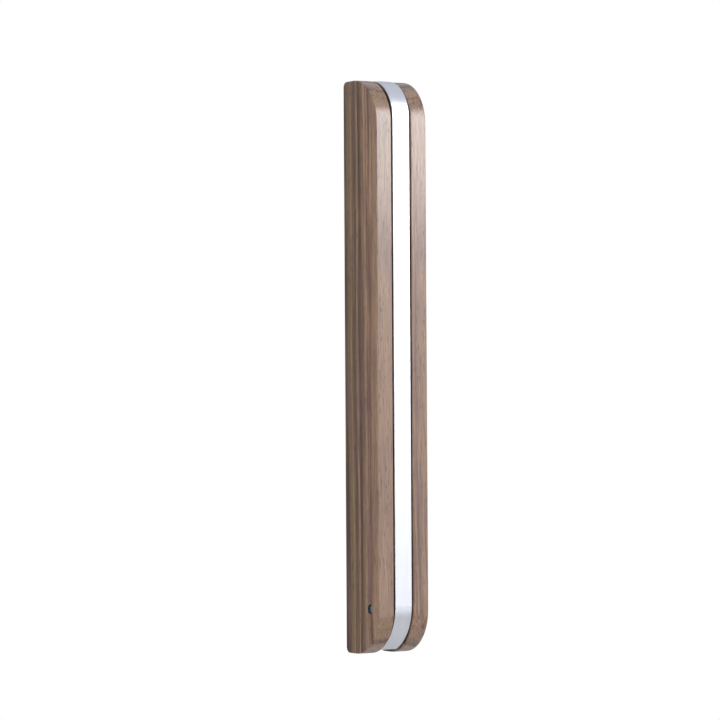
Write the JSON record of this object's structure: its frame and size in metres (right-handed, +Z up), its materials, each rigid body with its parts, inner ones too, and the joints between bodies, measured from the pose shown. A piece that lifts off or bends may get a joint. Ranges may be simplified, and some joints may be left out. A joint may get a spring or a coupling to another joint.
{
  "type": "wall-hung trouser press",
  "caption": "Slim wall-hung trouser press: walnut cheeks either side of an aluminium-faced arm that folds down level, with a felt-lined press bar hinged inside it.",
  "frame": {"origin": "half way between the two wall screws, on the plane of the wall", "axes": "+Z up along the case, +Y into the wall, +X to the right as seen from the room"},
  "size_m": [0.0596, 0.0645, 0.59],
  "materials": {
    "walnut": "oiled and lacquered satin",
    "beech": "planed",
    "brass": "turned, polished",
    "steel": "ground",
    "zinc_plate": "zinc plated",
    "nickel_plate": "nickel plated",
    "acetal": "machined",
    "rubber": "moulded",
    "band_aluminium": "satin anodised",
    "bronze": "sintered, oil filled",
    "felt": "pressed wool felt"
  },
  "bodies": {
    "case": {"left_cheek": "walnut", "right_cheek": "walnut", "spine": "walnut", "spine_dowels": "beech", "screw_cups": "brass", "pivot_pin": "steel", "washer_left": "acetal", "washer_right": "acetal", "stop_pin": "steel", "stop_sleeve": "rubber", "catch_magnet": "nickel_plate", "magnet_screw": "zinc_plate"},
    "arm": {"arm_band": "band_aluminium", "band_studs": "band_aluminium", "pivot_block": "acetal", "block_nuts": "zinc_plate", "bush_left": "bronze", "bush_right": "bronze", "strike_plate": "zinc_plate", "strike_rivets": "band_aluminium", "band_felt": "felt", "keeper_disc": "zinc_plate", "jaw_pin": "steel"},
    "press_bar": {"press_bar": "walnut", "bar_hinge": "band_aluminium", "hinge_screws": "zinc_plate", "bar_felt": "felt", "bar_magnet": "nickel_plate", "lift_knob": "band_aluminium", "knob_screw": "zinc_plate"}
  },
  "joints": [
    {"name": "arm_fold", "type": "hinge", "parent": "case", "child": "arm", "pos_m": [0, -0.047, -0.248], "axis": [1, 0, 0], "range_deg": [0, 90]},
    {"name": "bar_lift", "type": "hinge", "parent": "arm", "child": "press_bar", "pos_m": [0, -0.053, -0.168], "axis": [-1, 0, 0], "range_deg": [0, 3]}
  ]
}
